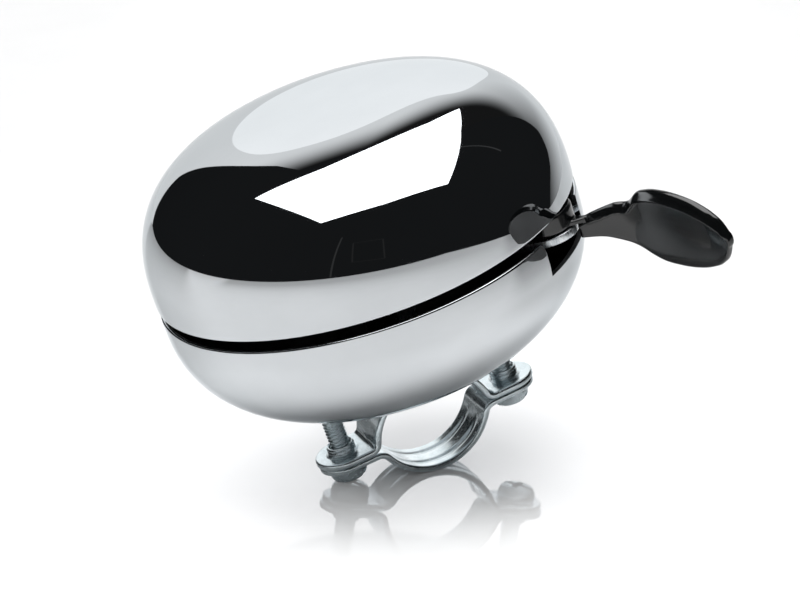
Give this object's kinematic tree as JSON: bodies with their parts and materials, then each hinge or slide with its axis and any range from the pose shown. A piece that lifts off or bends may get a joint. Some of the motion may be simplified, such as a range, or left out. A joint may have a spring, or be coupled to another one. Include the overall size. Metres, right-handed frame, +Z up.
{
  "type": "bicycle bell",
  "caption": "Round two-tone bicycle bell: two facing chromed shells on a handlebar clamp, with a black thumb lever that swings a double hammer inside.",
  "frame": {"origin": "centre of the handlebar held in the clamp, midway along the clamp's width", "axes": "+X from the left clamp screw to the right one, +Y along the handlebar, +Z up along the axis of the bell shells"},
  "size_m": [0.0879, 0.0946, 0.0746],
  "materials": {
    "chrome": "polished",
    "zinc_plate": "bright zinc plated",
    "screw_zinc": "zinc plated",
    "stack_zinc": "zinc plated",
    "lever_black": "gloss",
    "brass": "turned",
    "spring_steel": "drawn wire",
    "rocker_steel": "stamped"
  },
  "bodies": {
    "bell_body": {"upper_shell": "chrome", "lower_shell": "chrome", "clamp_saddle": "zinc_plate", "base_plate": "zinc_plate", "center_stud": "stack_zinc", "shell_boss": "brass", "shell_washer": "stack_zinc", "shell_nut": "stack_zinc", "plate_spacer": "stack_zinc", "plate_washer": "stack_zinc", "plate_nut": "stack_zinc", "shell_spacer": "stack_zinc", "lever_rivet": "stack_zinc", "lever_washer": "stack_zinc", "rocker_post": "stack_zinc", "post_washer": "stack_zinc", "post_clip": "stack_zinc", "spring_peg": "stack_zinc", "return_spring": "spring_steel"},
    "thumb_lever": {"lever": "lever_black"},
    "rocker": {"hammer_rocker": "rocker_steel", "rocker_pinion": "brass", "upper_hammer": "brass", "lower_hammer": "brass", "upper_hammer_collar": "stack_zinc", "lower_hammer_collar": "stack_zinc", "rocker_spring_pin": "stack_zinc"},
    "strap": {"lower_strap": "zinc_plate"},
    "left_screw": {"clamp_screw_left": "screw_zinc"},
    "right_screw": {"clamp_screw_right": "screw_zinc"}
  },
  "joints": [
    {"name": "lever_pivot", "type": "hinge", "parent": "bell_body", "child": "thumb_lever", "pos_m": [0.02654, -0.02204, 0.0401], "axis": [0, 0, -1], "range_deg": [0, 28]},
    {"name": "rocker_pivot", "type": "hinge", "parent": "bell_body", "child": "rocker", "pos_m": [0.01116, -0.00926, 0.0401], "axis": [0, 0, 1], "range_deg": [0, 65.34], "stiffness_Nm_per_rad": 0.03, "springref_deg": -28.65, "deforming": ["return_spring"]},
    {"name": "strap_slide", "type": "slide", "parent": "bell_body", "child": "strap", "axis": [0, 0, 1], "range_m": [-0.005, 0]},
    {"name": "left_screw_turn", "type": "hinge", "parent": "strap", "child": "left_screw", "pos_m": [-0.01735, 0, -0.0002], "axis": [0, 0, 1], "range_deg": [-2571.5, 0]},
    {"name": "right_screw_turn", "type": "hinge", "parent": "strap", "child": "right_screw", "pos_m": [0.01735, 0, -0.0002], "axis": [0, 0, 1], "range_deg": [-2571.5, 0]}
  ],
  "couplings": [
    {"joint": "rocker_pivot", "follows": "lever_pivot", "ratio": 2.3333},
    {"joint": "left_screw_turn", "follows": "strap_slide", "rad_per_m": 8976},
    {"joint": "right_screw_turn", "follows": "strap_slide", "rad_per_m": 8976}
  ]
}
